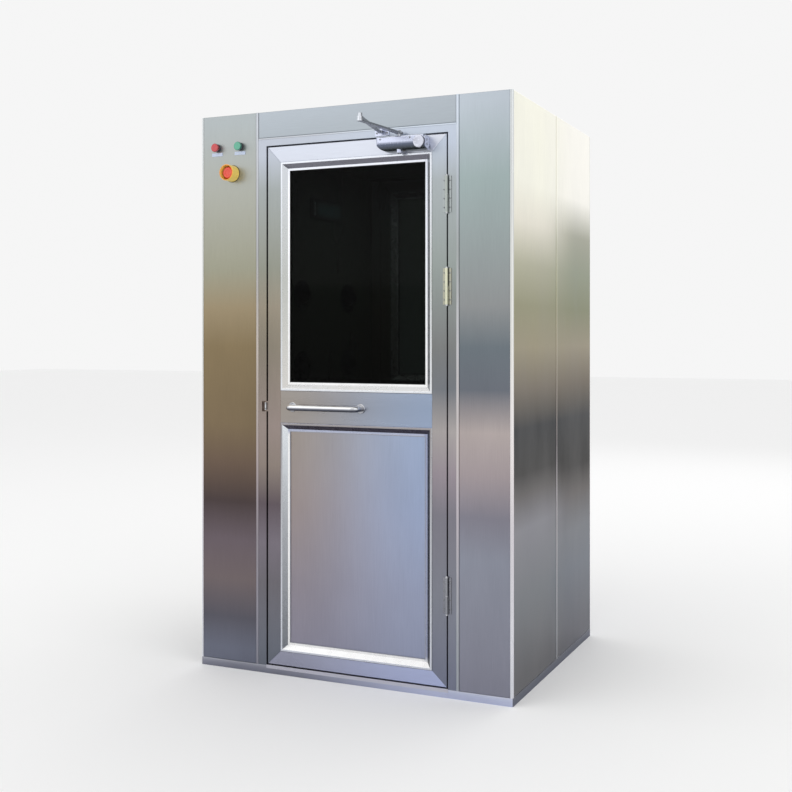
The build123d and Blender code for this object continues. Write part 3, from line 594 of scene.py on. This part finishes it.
def add_skin(bm, centre, axis, profile, segments, closed=False):
    """Rings of points turned from (distance along the axis, radius) pairs, each joined to the next."""
    turn = Vector((0, 0, 1)).rotation_difference(Vector(axis)).to_matrix()
    rings = []
    for along, radius in profile:
        ring = []
        for x, y in round_circle(segments, radius):
            ring.append(bm.verts.new(turn @ Vector((x, y, along)) + Vector(centre)))
        rings.append(ring)
    for a, b in zip(rings, rings[1:] + rings[:1] if closed else rings[1:]):
        for i in range(segments):
            j = (i + 1) % segments
            bm.faces.new((a[i], a[j], b[j], b[i]))
    return rings


def add_turned(bm, centre, axis, profile, segments=24):
    """Solid of revolution; six segments make a hexagon."""
    rings = add_skin(bm, centre, axis, profile, segments)
    bm.faces.new(list(reversed(rings[0])))
    bm.faces.new(rings[-1])


def add_ring(bm, centre, axis, inner, outer, thick, segments=32):
    """Flat ring with a chamfered outer edge."""
    edge = min(thick, outer - inner) * 0.3
    profile = [(0, inner), (0, outer), (thick - edge, outer), (thick, outer - edge), (thick, inner)]
    add_skin(bm, centre, axis, profile, segments, closed=True)


SCREW_SINK = mm(0.4)  # how far a head is let into the surface it stands on


def add_screw(bm, centre, axis, radius):
    """Pan head with a round drive recess."""
    height = radius * 0.55
    shape = [(-SCREW_SINK, radius), (height * 0.5, radius), (height * 0.9, radius * 0.75),
             (height, radius * 0.45), (height * 0.45, radius * 0.38), (height * 0.45, radius * 0.1)]
    add_turned(bm, centre, axis, shape, 16)


def add_hex_bolt(bm, centre, axis, radius, height):
    """Washer with a hexagon head whose top corners are rounded off."""
    washer = mm(1)
    add_turned(bm, centre, axis, [(-SCREW_SINK, radius * 1.25), (washer, radius * 1.25)])
    add_turned(bm, centre, axis, [(0, radius), (height * 0.85, radius), (height, radius * 0.86)], 6)


# Rubber seal on the back of the leaf, along its sides and its top
SEAL_W = mm(7)
SEAL_T = mm(4.2)
SEAL_INSET = mm(1.5)
SEAL_EDGE = mm(1)


def door_seal(bm):
    x0, x1 = LEAF_LOW[0] + SEAL_INSET, LEAF_HIGH[0] - SEAL_INSET
    z0, z1 = LEAF_LOW[2] + SEAL_INSET, LEAF_HIGH[2] - SEAL_INSET
    y0, y1 = LEAF_HIGH[1] - LET_IN, LEAF_HIGH[1] + SEAL_T
    add_block(bm, (x0, y0, z0), (x0 + SEAL_W, y1, z1), SEAL_EDGE)
    add_block(bm, (x1 - SEAL_W, y0, z0), (x1, y1, z1), SEAL_EDGE)
    add_block(bm, (x0 + SEAL_W, y0, z1 - SEAL_W), (x1 - SEAL_W, y1, z1), SEAL_EDGE)


on_both_walls(door_seal, "door_seal", "door", black_rubber)

# Gasket round the glass and sealant round the lower panel, front and back, in the corner by the frame
FLAT_W = mm(8)  # flat of the bevelled frame, which laps over the pane
GASKET_W = mm(2.4)
GASKET_OUT = mm(3.4)
GASKET_EDGE = mm(0.5)


def pane_rims(bm, pane):
    low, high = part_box(pane)
    corner = (low[0] + FLAT_W, low[2] + FLAT_W)
    far = (high[0] - FLAT_W, high[2] - FLAT_W)
    for y0, y1 in ((low[1] - GASKET_OUT, low[1] + LET_IN), (high[1] - LET_IN, high[1] + GASKET_OUT)):
        add_rim(bm, corner, far, y0, y1, GASKET_W, GASKET_EDGE)


on_both_walls(lambda bm: pane_rims(bm, "front_door_glass"), "glass_gaskets", "door", black_rubber)
on_both_walls(lambda bm: pane_rims(bm, "front_door_panel"), "panel_sealant", "door", grey_sealant)

# Hinges: screws in both wings, a bright ring at the joint and a turned tip at each end
HINGE_H = mm(130)
HINGE_LOW = mm(328)  # above the foot of the leaf
HINGE_MID = mm(545)  # below the top of the leaf
HINGE_HIGH = mm(216)
HINGE_ZS = (LEAF_LOW[2] + HINGE_LOW, LEAF_HIGH[2] - HINGE_MID, LEAF_HIGH[2] - HINGE_HIGH)
HINGE_X = LEAF_HIGH[0] + mm(3.25)
HINGE_Y = FRONT_Y - mm(7)
KNUCKLE_R = mm(6.2)
WING_MIDDLE = mm(11.7)  # from the axis
WING_FACE = FRONT_Y - mm(2.5)
WING_SCREW_R = mm(2.8)
WING_SCREW_ZS = (-mm(48), -mm(16), mm(16), mm(48))
RING_BORE_R = mm(3.4)
RING_OUT = mm(0.5)
RING_T = mm(0.9)
TIP = [(0, KNUCKLE_R * 0.98), (mm(1.2), KNUCKLE_R * 0.9), (mm(2.2), KNUCKLE_R * 0.62),
       (mm(3.6), KNUCKLE_R * 0.68), (mm(5.0), KNUCKLE_R * 0.5), (mm(5.6), mm(0.6))]


def wing_screws(bm, way):
    for z in HINGE_ZS:
        for dz in WING_SCREW_ZS:
            add_screw(bm, (HINGE_X + way * WING_MIDDLE, WING_FACE, z + dz), OUTWARD, WING_SCREW_R)


def hinge_rings(bm):
    for z in HINGE_ZS:
        add_ring(bm, (HINGE_X, HINGE_Y, z - RING_T / 2), (0, 0, 1), RING_BORE_R, KNUCKLE_R + RING_OUT,
                 RING_T)


def hinge_tips(bm, way):
    for z in HINGE_ZS:
        add_turned(bm, (HINGE_X, HINGE_Y, z + way * HINGE_H / 2), (0, 0, way), TIP)


on_both_walls(lambda bm: wing_screws(bm, 1), "hinge_base_screws", None, screw_steel)
on_both_walls(lambda bm: wing_screws(bm, -1), "hinge_leaf_screws", "door", screw_steel)
on_both_walls(hinge_rings, "hinge_rings", None, polished)
on_both_walls(lambda bm: hinge_tips(bm, -1), "hinge_lower_tips", None, polished)
on_both_walls(lambda bm: hinge_tips(bm, 1), "hinge_upper_tips", "door", polished)

# Pull handle: three small screws in each foot
handle_low, handle_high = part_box("front_door_handle")
FOOT_R = mm(18)
FOOT_T = mm(4)
FOOT_SCREWS = round_circle(3, mm(14.4), 90)
SMALL_SCREW_R = mm(2.0)
FOOT_XS = (handle_low[0] + FOOT_R, handle_high[0] - FOOT_R)
HANDLE_Z = middle_of("front_door_handle")[2]


def foot_screws(bm):
    for x in FOOT_XS:
        for dx, dz in FOOT_SCREWS:
            add_screw(bm, (x + dx, FRONT_Y - FOOT_T, HANDLE_Z + dz), OUTWARD, SMALL_SCREW_R)


on_both_walls(foot_screws, "handle_screws", "door", screw_steel)

# Door closer: cover screws, valves in its right end, cap cover, plug, a dark joint beside the cap, arm bolts
closer_low, closer_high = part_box("front_closer_body")
CLOSER_H = mm(50)
CLOSER_Z = LEAF_HIGH[2] - mm(54) + CLOSER_H / 2
CLOSER_FACE = FRONT_Y - mm(50)
COVER_SCREW_XS = (closer_low[0] + mm(20), closer_high[0] - mm(56))
COVER_SCREW_Z = CLOSER_Z + mm(16)
COVER_SCREW_R = mm(3.2)
SPINDLE_SCREW_R = mm(4.5)
CAP_R = mm(25.4)
CAP_COVER_X = closer_high[0] - mm(20)
CAP_COVER = in_mm((-4, 22), (4.4, 22), (5.6, 20.6), (6.0, 16), (6.0, 1))
CAP_JOINT_X = closer_high[0] - mm(38.4)
VALVE_DZ = mm(8)
VALVE = in_mm((-0.4, 3.6), (0.8, 3.6), (0.8, 2.2), (0.2, 2.0), (0.2, 0.3))
PLUG = in_mm((0, 5), (3.5, 5), (4.5, 4), (4.5, 1))
PINION_X, PINION_Y = LEAF_HIGH[0] - mm(174.25), FRONT_Y - mm(25)
ELBOW_X, ELBOW_Y = LEAF_HIGH[0] - mm(195.25), FRONT_Y - mm(290)
SHOE_X = LEAF_HIGH[0] - mm(254.25)
SHOE_FACE = FRONT_Y - mm(4)
SHOE_SCREW_DX = mm(21)
SHOE_SCREW_R = mm(3.4)
arm_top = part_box("front_closer_arm")[1][2]
elbow_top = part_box("front_closer_forearm")[1][2]


def closer_screws(bm):
    for x in COVER_SCREW_XS:
        add_screw(bm, (x, CLOSER_FACE, COVER_SCREW_Z), OUTWARD, COVER_SCREW_R)
    add_screw(bm, (PINION_X, PINION_Y, closer_low[2]), (0, 0, -1), SPINDLE_SCREW_R)


def closer_valves(bm):
    for dz in (-VALVE_DZ, VALVE_DZ):
        add_turned(bm, (closer_high[0], FRONT_Y - CAP_R, CLOSER_Z + dz), (1, 0, 0), VALVE, 16)


def closer_cover(bm):
    """Round cover on the front of the cap."""
    add_turned(bm, (CAP_COVER_X, CLOSER_FACE, CLOSER_Z), OUTWARD, CAP_COVER, 48)


def closer_port(bm):
    """Dark plug under the belly, beside the spindle."""
    spot = (PINION_X + mm(20), PINION_Y - mm(3), CLOSER_Z - CLOSER_H / 2 + mm(1))
    add_turned(bm, spot, (0, 0, -1), PLUG)


def closer_joint(bm):
    add_ring(bm, (CAP_JOINT_X, FRONT_Y - CAP_R, CLOSER_Z), (1, 0, 0), CAP_R - mm(2), CAP_R + mm(0.3),
             mm(0.8), 48)


def pinion_bolt(bm):
    add_hex_bolt(bm, (PINION_X, PINION_Y, arm_top), (0, 0, 1), mm(6), mm(5))


def elbow_socket(bm):
    """Hexagon rim round the drive of the elbow's bolt."""
    add_ring(bm, (ELBOW_X, ELBOW_Y, elbow_top - mm(0.3)), (0, 0, 1), mm(3.4), mm(6.4), mm(0.6), 6)


def shoe_screws(bm):
    z = middle_of("closer_shoes")[2]
    for dx in (-SHOE_SCREW_DX, SHOE_SCREW_DX):
        add_screw(bm, (SHOE_X + dx, SHOE_FACE, z), OUTWARD, SHOE_SCREW_R)


on_both_walls(closer_screws, "closer_screws", "door", screw_steel)
on_both_walls(closer_valves, "closer_valves", "door", screw_steel)
on_both_walls(closer_cover, "closer_cover", "door", cover_paint)
on_both_walls(closer_port, "closer_port", "door", black_plastic)
on_both_walls(closer_joint, "closer_joint", "door", black_plastic)
on_both_walls(pinion_bolt, "pinion_bolt", "main_arm", screw_steel)
on_both_walls(elbow_socket, "elbow_socket", "forearm", screw_steel)
on_both_walls(shoe_screws, "shoe_screws", None, screw_steel)

# Strike: two screws in the keeper, level with the handle
LATCH_GAP = mm(6.8)
KEEPER_MIDDLE = mm(6)  # from the edge of the doorway
KEEPER_FACE = FRONT_Y + mm(3)
KEEPER_SCREW_DZ = mm(9)


def keeper_screws(bm):
    x = LEAF_LOW[0] - LATCH_GAP - KEEPER_MIDDLE
    for dz in (-KEEPER_SCREW_DZ, KEEPER_SCREW_DZ):
        add_screw(bm, (x, KEEPER_FACE, HANDLE_Z + dz), OUTWARD, SMALL_SCREW_R)


on_both_walls(keeper_screws, "keeper_screws", None, screw_steel)

# Nozzles: a black disc in each bore as painted shade, a joint round the ball, and four screws in each flange
ROOM_FACE = {"left_nozzles": 1, "right_nozzles": -1}
NOZZLE_YS = (-mm(197.5), mm(197.5))
NOZZLE_ZS = (mm(876), mm(1167), mm(1458))
NOZZLE_SUNK = mm(18)  # back of the cup behind the inner wall
FLANGE_T = mm(4)
FLANGE_SCREWS = round_circle(4, mm(55.5), 45)
FLANGE_SCREW_R = mm(3.2)
BORE_OUT = mm(26.9)  # black disc set in the bore, in front of the wall: painted shade down the hole
BORE = in_mm((0, 15.9), (1, 15.9))
JOINT_OUT = mm(11.4)
JOINT_INNER_R = mm(35.5)
JOINT_OUTER_R = mm(38.3)


def nozzle_spots(node):
    """(centre on the inner wall, direction of the jet) of each nozzle on one wall."""
    way = ROOM_FACE[node]
    low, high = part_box(node)
    wall = low[0] + NOZZLE_SUNK if way > 0 else high[0] - NOZZLE_SUNK
    return [((wall, y, z), way) for y in NOZZLE_YS for z in NOZZLE_ZS]


def flange_screws(bm, node):
    for (x, y, z), way in nozzle_spots(node):
        for dy, dz in FLANGE_SCREWS:
            add_screw(bm, (x + way * FLANGE_T, y + dy, z + dz), (way, 0, 0), FLANGE_SCREW_R)


def nozzle_bore_shades_and_joints(bm, node):
    for (x, y, z), way in nozzle_spots(node):
        add_turned(bm, (x + way * BORE_OUT, y, z), (way, 0, 0), BORE, 32)
        add_ring(bm, (x + way * JOINT_OUT, y, z), (way, 0, 0), JOINT_INNER_R, JOINT_OUTER_R, mm(1.0), 48)


for node in ROOM_FACE:
    in_cabin(lambda bm: flange_screws(bm, node), node + "_screws", screw_steel)
    in_cabin(lambda bm: nozzle_bore_shades_and_joints(bm, node), node + "_bore_shades_and_joints", black_rubber)

# Display: screen in its rim, and a column of round keys beside the screen
display_low, display_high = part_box("wall_display")
SCREEN_X = display_high[0] - mm(2.5)
SCREEN_OUT = mm(1.2)
SCREEN_SINK = mm(0.3)
SCREEN_EDGE = mm(0.4)
SCREEN_MARGIN = mm(14)
KEY_STRIP = mm(60)  # beside the screen
KEY_Y = display_low[1] + mm(32)
KEY_PITCH = mm(22)
KEY = in_mm((-0.3, 7), (1.2, 7), (2.0, 6), (2.0, 1))


def display_screen(bm):
    low = (SCREEN_X - SCREEN_SINK, display_low[1] + KEY_STRIP, display_low[2] + SCREEN_MARGIN)
    high = (SCREEN_X + SCREEN_OUT, display_high[1] - SCREEN_MARGIN, display_high[2] - SCREEN_MARGIN)
    add_block(bm, low, high, SCREEN_EDGE)


def display_keys(bm):
    z = middle_of("wall_display")[2]
    for row in (-1, 0, 1):
        add_turned(bm, (SCREEN_X, KEY_Y, z + row * KEY_PITCH), (1, 0, 0), KEY)


in_cabin(display_screen, "display_screen", screen_glass)
in_cabin(display_keys, "display_keys", key_plastic)

# Lamps: fluted collar round the foot of each lens; plates: a rivet at each end; stop: a gasket
LAMP_XS = [middle_of(lens)[0] for lens in ("red_lamp_lens", "green_lamp_lens")]
LAMP_Z = middle_of("red_lamp_lens")[2]
BEZEL_H = mm(5)
COLLAR_INNER_R = mm(13.3)
COLLAR_OUTER_R = mm(14.8)
COLLAR_T = mm(3.6)
FLUTES = round_circle(24, mm(14.7))
FLUTE = in_mm((0, 0.55), (3.0, 0.55), (3.3, 0.3))
LENS_CAP = in_mm((8.0, 13.4), (9.0, 15.2), (13.4, 16.4), (19.4, 16.4), (21.0, 15.0), (21.6, 9), (21.6, 1))
plate_low, plate_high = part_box("label_plates")
RIVET_DX = mm(20.5)
RIVET_R = mm(1.2)


def lamp_collars(bm):
    y = FRONT_Y - BEZEL_H + LET_IN
    for x in LAMP_XS:
        add_ring(bm, (x, y, LAMP_Z), OUTWARD, COLLAR_INNER_R, COLLAR_OUTER_R, COLLAR_T, 40)
        for dx, dz in FLUTES:
            add_turned(bm, (x + dx, y, LAMP_Z + dz), OUTWARD, FLUTE, 6)


def lens_cap(bm, x):
    """Wider front of the lens, from its collar outward, which hides its bezel from in front."""
    add_turned(bm, (x, FRONT_Y, LAMP_Z), OUTWARD, LENS_CAP, 40)


def plate_rivets(bm):
    z = (plate_low[2] + plate_high[2]) / 2
    for x in LAMP_XS:
        for dx in (-RIVET_DX, RIVET_DX):
            add_screw(bm, (x + dx, plate_low[1], z), OUTWARD, RIVET_R)


def stop_gasket(bm):
    x, _, z = middle_of("stop_shroud")
    add_ring(bm, (x, FRONT_Y + LET_IN, z), OUTWARD, mm(31.5), mm(33.6), mm(1.8), 64)


in_cabin(lambda bm: lens_cap(bm, LAMP_XS[0]), "red_lens_cap", red_lens)
in_cabin(lambda bm: lens_cap(bm, LAMP_XS[1]), "green_lens_cap", green_lens)
in_cabin(lamp_collars, "lamp_collars", ring_metal_in_shade)
in_cabin(plate_rivets, "plate_rivets", plate_plastic)
in_cabin(stop_gasket, "stop_gasket", black_rubber)


# Light, floor and camera

FLOOR_HALF = 30.0
FLOOR_CORNERS = [(-FLOOR_HALF, -FLOOR_HALF, 0), (FLOOR_HALF, -FLOOR_HALF, 0),
                 (FLOOR_HALF, FLOOR_HALF, 0), (-FLOOR_HALF, FLOOR_HALF, 0)]


def stage_plane(name, corners, tone):
    mat, tree, shader = material(name + "_finish")
    shader.inputs["Base Color"].default_value = linear(tone)
    shader.inputs["Roughness"].default_value = 0.9
    mesh = bpy.data.meshes.new(name)
    mesh.from_pydata(corners, [], [(0, 1, 2, 3)])
    mesh.materials.append(mat)
    obj = bpy.data.objects.new(name, mesh)
    bpy.context.collection.objects.link(obj)


stage_plane("floor", FLOOR_CORNERS, (248, 248, 248))


def area_lamp(name, place, aim, side, watts):
    """Square lamp that shines from its place to its aim."""
    data = bpy.data.lights.new(name, "AREA")
    data.shape = "RECTANGLE"
    data.size = data.size_y = side
    data.energy = watts
    lamp = bpy.data.objects.new(name, data)
    bpy.context.collection.objects.link(lamp)
    lamp.location = place
    direction = Vector(aim) - Vector(place)
    lamp.rotation_euler = direction.to_track_quat("-Z", "Y").to_euler()
    return lamp


area_lamp("key", place=(-4.5, -6.0, 5.0), aim=(0, 0, 1.1), side=7.0, watts=90)
area_lamp("fill", place=(7.0, -4.0, 3.5), aim=(0, 0, 1.1), side=6.0, watts=50)
area_lamp("rim", place=(1.0, 6.0, 5.0), aim=(0, 0, 1.2), side=6.0, watts=50)
room_lamp = area_lamp("room", place=(LEAF_X, 0.0, 1.98), aim=(LEAF_X, 0.0, 0.0), side=0.5, watts=12)
room_lamp.visible_camera = False
room_lamp.visible_glossy = False
room_lamp.visible_transmission = False

world = bpy.data.worlds.new("studio")
bpy.context.scene.world = world
world.use_nodes = True
sky = world.node_tree
sky.nodes.clear()
background = sky.nodes.new("ShaderNodeBackground")
background.inputs["Color"].default_value = (1.0, 1.0, 1.0, 1.0)
background.inputs["Strength"].default_value = 0.92
sky_out = sky.nodes.new("ShaderNodeOutputWorld")
sky.links.new(background.outputs[0], sky_out.inputs["Surface"])

camera_data = bpy.data.cameras.new("camera")
camera_data.sensor_width = 36.0
camera_data.lens = 49.74
camera_data.shift_x = -0.063
camera_data.shift_y = -0.0747
camera_data.clip_end = 200.0
camera = bpy.data.objects.new("camera", camera_data)
bpy.context.collection.objects.link(camera)
camera.location = (1.9225, -4.0917, 1.2881)
camera.rotation_euler = (math.radians(90.0), 0.0, 0.4017)
scene = bpy.context.scene
scene.camera = camera
scene.view_settings.view_transform = "Standard"
